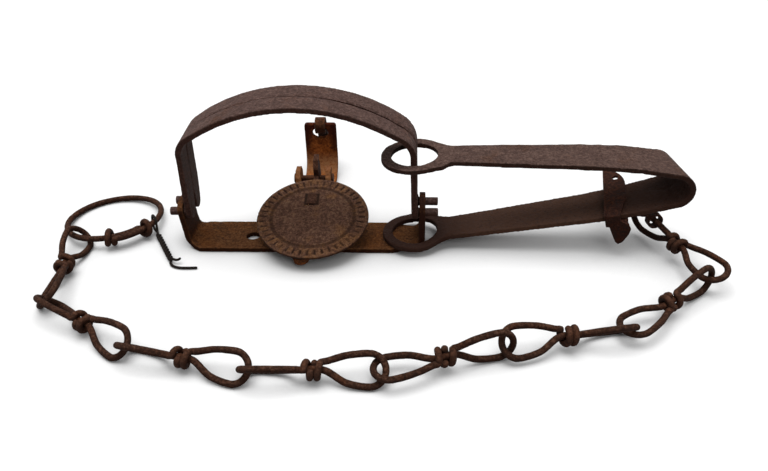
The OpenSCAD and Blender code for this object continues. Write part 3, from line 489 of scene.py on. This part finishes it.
worn("spring_low", "spring_lower", "spring", spring_steel, 0.36, 0.12, 0.1,
     reshape=bow_tongue, press=slim_tongue, seed=17)
worn("spring_high", "spring_upper", "spring_top", spring_steel, 0.36, 0.12, 0.1,
     reshape=bow_lip, seed=17)


# Smooth curve through points in millimetres
def smooth_path(points, step):
    p = np.array(points, float)
    p = np.vstack([2 * p[0] - p[1], p, 2 * p[-1] - p[-2]])
    out = []
    for i in range(1, len(p) - 2):
        a, b, c, d = p[i - 1], p[i], p[i + 1], p[i + 2]
        tb = np.linalg.norm(b - a) ** 0.5
        tc = tb + np.linalg.norm(c - b) ** 0.5
        td = tc + np.linalg.norm(d - c) ** 0.5
        n = max(1, int(round(np.linalg.norm(c - b) / step)))
        for k in range(n):
            t = tb + (tc - tb) * k / n
            a1 = (tb - t) / tb * a + t / tb * b
            a2 = (tc - t) / (tc - tb) * b + (t - tb) / (tc - tb) * c
            a3 = (td - t) / (td - tc) * c + (t - tc) / (td - tc) * d
            b1 = (tc - t) / tc * a1 + t / tc * a2
            b2 = (td - t) / (td - tb) * a2 + (t - tb) / (td - tb) * a3
            out.append((tc - t) / (tc - tb) * b1 + (t - tb) / (tc - tb) * b2)
    out.append(p[-2])
    return np.array(out)


# Round wire along a smooth curve, a little uneven and pitted
def wire(name, points, radius, body, material, node, seed, sides=14, step=0.7, mask=None, uneven=0.035):
    p = smooth_path(points, step)
    n = len(p)
    d = np.gradient(p, axis=0)
    d /= np.linalg.norm(d, axis=1)[:, None]
    u = np.cross(d[0], (0, 0, 1) if abs(d[0][2]) < 0.9 else (1, 0, 0))
    size = 1 + uneven * rough_noise(p, 4.0, seed)
    # The cut ends are a little rounded
    for k, s in ((0, 0.62), (1, 0.93), (n - 1, 0.62), (n - 2, 0.93)):
        size[k] *= s
    verts = []
    for i in range(n):
        u = u - d[i] * (u @ d[i])
        u = u / np.linalg.norm(u)
        w = np.cross(d[i], u)
        for k in range(sides):
            a = 2 * math.pi * k / sides
            verts.append(p[i] + radius * size[i] * (u * math.cos(a) + w * math.sin(a)))
    v = np.array(verts)
    out = v - np.repeat(p, sides, axis=0)
    out /= np.linalg.norm(out, axis=1)[:, None]
    v = v - out * (0.06 * radius * np.clip(rough_noise(v, 0.9, seed + 4), 0, 1))[:, None]
    faces = []
    for i in range(n - 1):
        for k in range(sides):
            this, following = i * sides, (k + 1) % sides
            faces.append((this + k, this + following, this + sides + following, this + sides + k))
    faces.append(tuple(range(sides - 1, -1, -1)))
    faces.append(tuple((n - 1) * sides + k for k in range(sides)))
    mesh = bpy.data.meshes.new(name)
    mesh.from_pydata((v * MM).tolist(), [], faces)
    mesh.update()
    if mask:
        values = np.repeat(np.array([mask(q) for q in p]), sides).astype(np.float32)
        mesh.attributes.new("knot", "FLOAT", "POINT").data.foreach_set("value", values)
    finished(name, mesh, body, material, [node])


# The chain's sizes and places, as in the solids
wire_d, link_pitch, link_slack, knot_gap, knot_turns = 2.5, 46.5, 0.5, 0.12, 1.0
wire_r, loop_r, coil_r = wire_d / 2, 5.6, wire_d + knot_gap
coil_l = knot_turns * (wire_d + knot_gap)
knot_half = coil_l + 0.25
apex = link_pitch / 2 + wire_d / 2 + link_slack / 2
nose_x = apex - loop_r
level_z = loop_r * math.sin(45 * RAD) + wire_r + 0.05
upright_z = loop_r + wire_r + 0.25
leg_hook = 12.4
curl_at = np.array((143.2, -4.0, 13.6))
link_yaw = (-60.5, -141, -166, -164, -179, 166.5, 146.5, 94)
link_roll = (15, 0, 135, 0, 45, 45, 45, 45)
joint_z = (0, upright_z, level_z, upright_z, level_z, level_z, level_z, level_z, level_z)
side_x = nose_x + (loop_r - wire_r - link_slack / 2) * math.cos(-60 * RAD)
side_y = -(loop_r - wire_r - link_slack / 2) * math.sin(-60 * RAD)
belly_x, belly_in, belly_out = nose_x - 7.6, 4.3, 4.9
leg_x, leg_y = knot_half + 2.2, coil_r + 0.45
hook_side = belly_out + (leg_hook - belly_x) * (loop_r - belly_out) / (nose_x + 0.6 - belly_x)
hook_drop = hook_side * math.cos(link_roll[0] * RAD) + side_y * math.sin(link_roll[0] * RAD)
first_reach = leg_hook + side_x
first_fall = math.asin((curl_at[2] - joint_z[1]) / math.hypot(hook_drop, first_reach))
first_rise = math.atan2(hook_drop, first_reach) - first_fall
LINKS, LOOP_POINTS, LOOP_HALF_TURN, COIL_POINTS = 8, 10, 84, 12
KNOT_RUST = 5.5


def link_dir(i):
    y = link_yaw[i] * RAD
    r = first_rise if i == 0 else math.asin((joint_z[i + 1] - joint_z[i]) / link_pitch)
    return np.array((math.cos(y) * math.cos(r), math.sin(y) * math.cos(r), math.sin(r)))


def link_axes(i):
    s = np.array((-math.sin(link_yaw[i] * RAD), math.cos(link_yaw[i] * RAD), 0))
    w = np.cross(link_dir(i), s)
    a = link_roll[i] * RAD
    return s * math.cos(a) + w * math.sin(a), w * math.cos(a) - s * math.sin(a)


def hook_at(i):
    bend = link_dir(i - 1) @ link_dir(i)
    room = 0.6 if link_roll[i - 1] != link_roll[i] else 0
    return (wire_r + link_slack / 2) / math.sqrt((1 + bend) / 2) + room


middle = [curl_at + link_dir(0) * leg_hook - hook_side * link_axes(0)[1]]
joint = middle[0] + link_dir(0) * side_x - side_y * link_axes(0)[0]
middle.append(joint + link_dir(1) * (apex - wire_r - link_slack / 2))
for i in range(2, LINKS):
    joint = middle[i - 1] + link_dir(i - 1) * (apex - hook_at(i))
    middle.append(joint + link_dir(i) * (apex - hook_at(i)))


def half_link():
    out = [(0, 0, 0), (knot_half + 0.8, 0, 0), (belly_x, -belly_in, 0)]
    for k in range(LOOP_POINTS):
        a = (-LOOP_HALF_TURN + 2 * LOOP_HALF_TURN * k / (LOOP_POINTS - 1)) * RAD
        out.append((nose_x + loop_r * math.cos(a), loop_r * math.sin(a), 0))
    out += [(belly_x, belly_out, 0), (leg_x, leg_y, 0)]
    for k in range(COIL_POINTS):
        a = 2 * math.pi * knot_turns * k / (COIL_POINTS - 1)
        out.append((knot_half - coil_l * k / (COIL_POINTS - 1), coil_r * math.cos(a), coil_r * math.sin(a)))
    return out


half = half_link()
link_points = half[:0:-1] + [(-q[0], q[2], q[1]) for q in half[1:]]


def link(i):
    def near_knot(q):
        return math.exp(-((q - middle[i]) @ link_dir(i) / KNOT_RUST) ** 2)

    y, z = link_axes(i)
    path = [middle[i] + link_dir(i) * q[0] + y * q[1] + z * q[2] for q in link_points]
    node = "link_%d" % (i + 1)
    wire("link_wire_%d" % (i + 1), path, wire_r, node, chain_wire, node, i + 2, mask=near_knot)


for i in range(LINKS):
    link(i)

# End ring: its two ends run side by side and are each wound on the other
ring_r, ring_wire_d, ring_gap = 20.2, 2.6, 0.12
ring_pair = (ring_wire_d + ring_gap) / 2
ring_turns = 1.25
ring_coil_a = ring_turns * (ring_wire_d + ring_gap) / ring_r / RAD
hook_a, splice_mid, splice_a, ring_n = -112, -50, 34, 26
tail_a, head_a = splice_mid - splice_a / 2, splice_mid + splice_a / 2


def ring_at(a, off, up):
    return np.array(((ring_r + off) * math.cos(a * RAD), (ring_r + off) * math.sin(a * RAD), up))


def coil_round(a0, off, b0, s):
    out, last = [], COIL_POINTS - 1
    for k in range(COIL_POINTS):
        a = a0 + s * ring_coil_a * k / last
        b = (b0 + s * 360 * ring_turns * k / last) * RAD
        out.append(ring_at(a, off + 2 * ring_pair * math.cos(b), 2 * ring_pair * math.sin(b)))
    return out


ring_points = coil_round(tail_a, -ring_pair, 0, -1)[::-1]
ring_points += [ring_at(tail_a + splice_a * k / 5, ring_pair, 0) for k in range(1, 6)]
for k in range(1, ring_n):
    q = k / ring_n
    off = ring_pair * (1 - 2 * min(1, max(0, (q - 0.25) * 2)))
    ring_points.append(ring_at(head_a + (360 - splice_a) * q, off, 0))
ring_points += [ring_at(tail_a + splice_a * k / 5, -ring_pair, 0) for k in range(5)]
ring_points += coil_round(head_a, ring_pair, 180, 1)
ring_rise, ring_high_a = 4.0, -58
ring_hook = middle[-1] + link_dir(LINKS - 1) * (apex - wire_r - ring_wire_d / 2 - 2.6)
ring_middle = np.array((ring_hook[0] - ring_r * math.cos(hook_a * RAD),
                        ring_hook[1] - ring_r * math.sin(hook_a * RAD),
                        ring_wire_d / 2 + 0.1 + ring_rise / 2))
ring_tilt_axis = Vector((-math.sin(ring_high_a * RAD), math.cos(ring_high_a * RAD), 0))
ring_turn = Matrix.Rotation(-math.asin(ring_rise / (2 * ring_r)), 3, ring_tilt_axis)


def on_ring(q):
    return ring_middle + np.array(ring_turn @ Vector(q))


ring_path = [on_ring(q) for q in ring_points]
wire("ring", ring_path, ring_wire_d / 2, "ring", ring_wire, "end_ring", 21, step=0.8)

# Tag wire: a loop round the ring, a twisted pair and two loose ends
tag_r, tag_a, tag_heading, tag_turns, tag_pitch, tag_n = 0.55, -14, -60, 5, 4.2, 10
tag_loop_r = 0.7 * ring_wire_d + tag_r + 0.6
tag_pair, tag_floor = tag_r + 0.16, tag_r + 0.15
tag_start = on_ring(ring_at(tag_a, ring_pair, 0))
tag_run = np.array((math.cos(tag_heading * RAD), math.sin(tag_heading * RAD), 0))
tag_side = np.array((-math.sin(tag_heading * RAD), math.cos(tag_heading * RAD), 0))
tag_lead, tag_z = tag_loop_r + 2.4, tag_pair + tag_floor
tag_end = tag_lead + tag_pitch * tag_turns
tag_loop_open, tag_loop_n = 130, 10
tag_loose = ((2, -0.7), (4.4, -0.3), (6.4, 1.1), (8, 3.2), (10.6, 8.2))


def tag_point(along, side, up):
    ground = np.array((tag_start[0], tag_start[1], 0))
    return ground + tag_run * along + tag_side * side + np.array((0, 0, up))


def tag_strand(s):
    out = []
    for k in range(1, tag_n * tag_turns + 1):
        a = (360 * k / tag_n + (90 if s > 0 else 270)) * RAD
        side, up = tag_pair * math.cos(a), tag_pair * math.sin(a)
        out.append(tag_point(tag_lead + tag_pitch * k / tag_n, side, tag_z + up))
    return out


tag_loop = []
for k in range(tag_loop_n + 1):
    a = (tag_loop_open - 2 * tag_loop_open * k / tag_loop_n + 180) * RAD
    side = tag_pair * (k / 5 - 1) * 0.9
    tag_loop.append(tag_point(tag_loop_r * math.cos(a), side, tag_start[2] + tag_loop_r * math.sin(a)))
tag_points = [tag_point(tag_end + 3.2, 3.6, tag_z + 1.2), tag_point(tag_end + 3, 2.2, tag_z + 0.6),
              tag_point(tag_end + 1.6, 0.6, tag_z + tag_pair)]
tag_points += tag_strand(1)[::-1] + [tag_point(tag_lead, 0, tag_z + tag_pair)] + tag_loop
tag_points += [tag_point(tag_lead, 0, tag_z - tag_pair)] + tag_strand(-1)
tag_points += [tag_point(tag_end + a, s, tag_floor) for a, s in tag_loose]
wire("tag", tag_points, tag_r, "ring", tag_black, "tag_wire", 31,
     sides=10, step=0.35, uneven=0.02)

# Floor and surround: half the floor's side and the reach of its contact shadow in metres, tones and glows
FLOOR_HALF, CONTACT = 8, 0.03
FLOOR_TONE, FLOOR_TONE_SEEN = 0.3, 0.22
GLOW_NEAR, GLOW_FAR = (0.3, 0.53), (0.95, 1.0)
ROOM_LIGHT, ROOM_LIGHT_SEEN = 0.04, 0.96
LAMPS_AIM = (0.03, 0, 0)


# An amount that only the camera sees, directly, mirrored or through glass
def white_to_camera(nt, amount):
    path = nt.nodes.new("ShaderNodeLightPath")
    seen = plus(nt, path.outputs["Is Camera Ray"], path.outputs["Is Glossy Ray"])
    seen = plus(nt, seen, path.outputs["Is Transmission Ray"])
    return times(nt, maths(nt, "MINIMUM", seen, 1.0), amount)


floor_mesh = bpy.data.meshes.new("floor")
floor_corners = [(FLOOR_HALF * x, FLOOR_HALF * y, 0) for x, y in ((-1, -1), (1, -1), (1, 1), (-1, 1))]
floor_mesh.from_pydata(floor_corners, [], [(0, 1, 2, 3)])
floor = bpy.data.objects.new("floor", floor_mesh)
bpy.context.collection.objects.link(floor)
floor_white = bpy.data.materials.new("floor_white")
floor_white.use_nodes = True
fn = floor_white.node_tree
fb = fn.nodes["Principled BSDF"]
fn.links.new(plus(fn, FLOOR_TONE, white_to_camera(fn, FLOOR_TONE_SEEN)), fb.inputs["Base Color"])
fb.inputs["Roughness"].default_value = 0.9
fb.inputs["Specular IOR Level"].default_value = 0.1
fb.inputs["Emission Color"].default_value = (1, 1, 1, 1)
spot = fn.nodes.new("ShaderNodeTexCoord")
reach = fn.nodes.new("ShaderNodeVectorMath")
reach.operation = "LENGTH"
fn.links.new(spot.outputs["Object"], reach.inputs[0])
glow = ramp(fn, reach.outputs["Value"], GLOW_NEAR, GLOW_FAR)
# Where the object comes close to the floor, its shadow is deep
close_by = fn.nodes.new("ShaderNodeAmbientOcclusion")
close_by.inputs["Distance"].default_value = CONTACT
glow = times(fn, glow, ramp(fn, close_by.outputs["AO"], (0.3, 0.0), (0.95, 1.0)))
fn.links.new(white_to_camera(fn, glow), fb.inputs["Emission Strength"])
floor_mesh.materials.append(floor_white)

world = bpy.data.worlds.new("surround")
bpy.context.scene.world = world
world.use_nodes = True
wn = world.node_tree
back = wn.nodes["Background"]
back.inputs["Color"].default_value = (1, 1, 1, 1)
wn.links.new(plus(wn, ROOM_LIGHT, white_to_camera(wn, ROOM_LIGHT_SEEN)), back.inputs["Strength"])


# Round lamp: its place and width in metres, and its power in watts
def soft_lamp(name, at, size, power):
    lamp = bpy.data.lights.new(name, "AREA")
    lamp.shape = "DISK"
    lamp.size = size
    lamp.energy = power
    obj = bpy.data.objects.new(name, lamp)
    bpy.context.collection.objects.link(obj)
    obj.location = at
    obj.rotation_mode = "QUATERNION"
    obj.rotation_quaternion = (Vector(LAMPS_AIM) - Vector(at)).to_track_quat("-Z", "Y")


soft_lamp("key", (-0.12, 0.12, 2.0), 1.8, 44.0)
soft_lamp("fill", (0.5, -1.5, 1.2), 1.0, 12.0)
